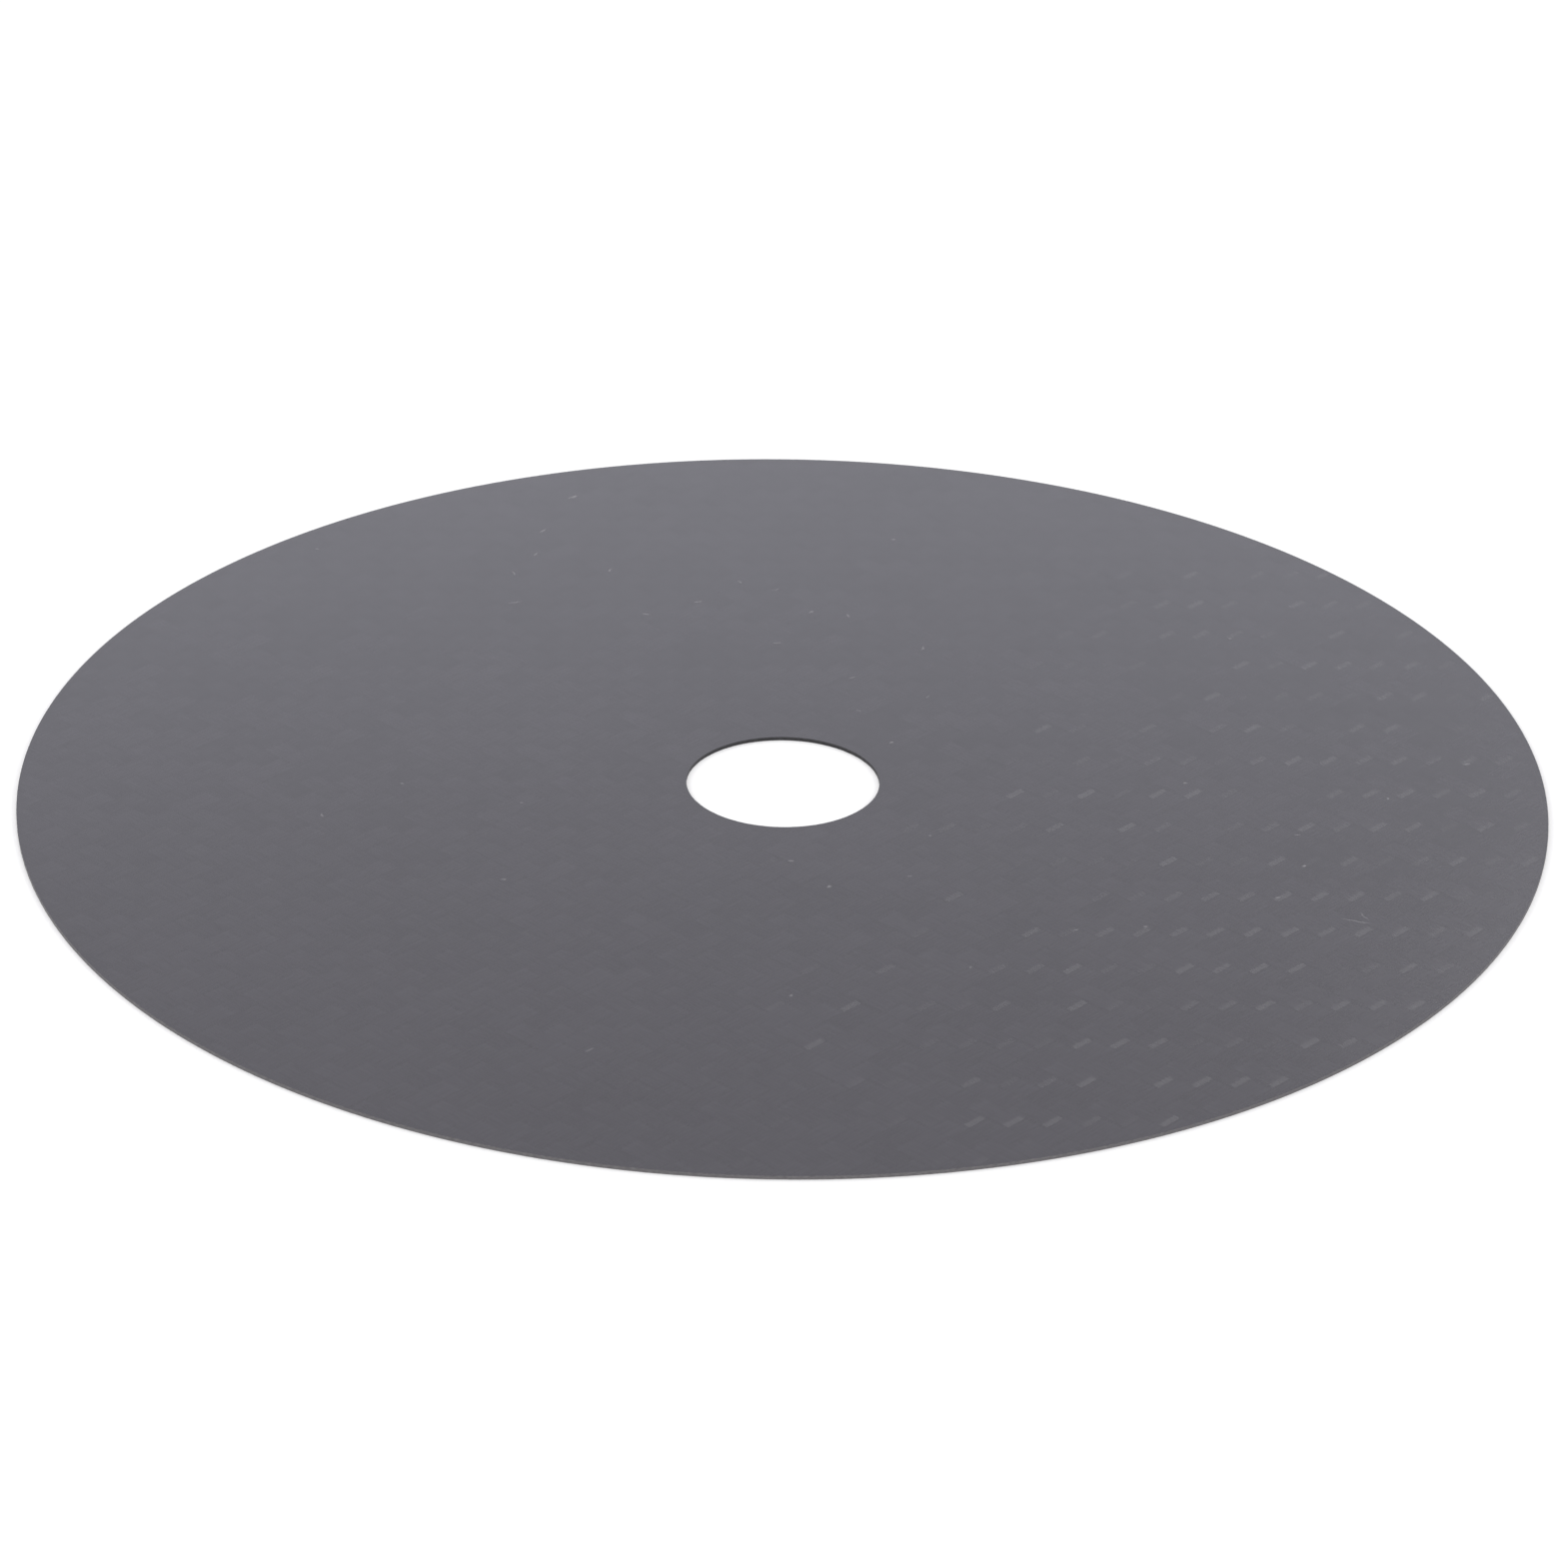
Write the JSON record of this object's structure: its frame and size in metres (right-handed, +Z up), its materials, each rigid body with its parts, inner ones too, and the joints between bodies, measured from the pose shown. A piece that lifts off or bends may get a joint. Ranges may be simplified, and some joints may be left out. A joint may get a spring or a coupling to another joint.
{
  "type": "cd stabilizer mat",
  "caption": "Thin flat round mat of cured twill carbon cloth with a plain hole in the middle, laid on the label side of a compact disc.",
  "frame": {"origin": "centre of the hole, on the underside", "axes": "+Z up through the woven face, along the hole's axis; +X along the twill line, give or take 1.6 degrees"},
  "size_m": [0.12, 0.12, 0.0003],
  "materials": {
    "carbon_laminate": "satin dark grey twill weave"
  },
  "bodies": {
    "root": {"stabilizer_disc": "carbon_laminate"}
  },
  "joints": []
}
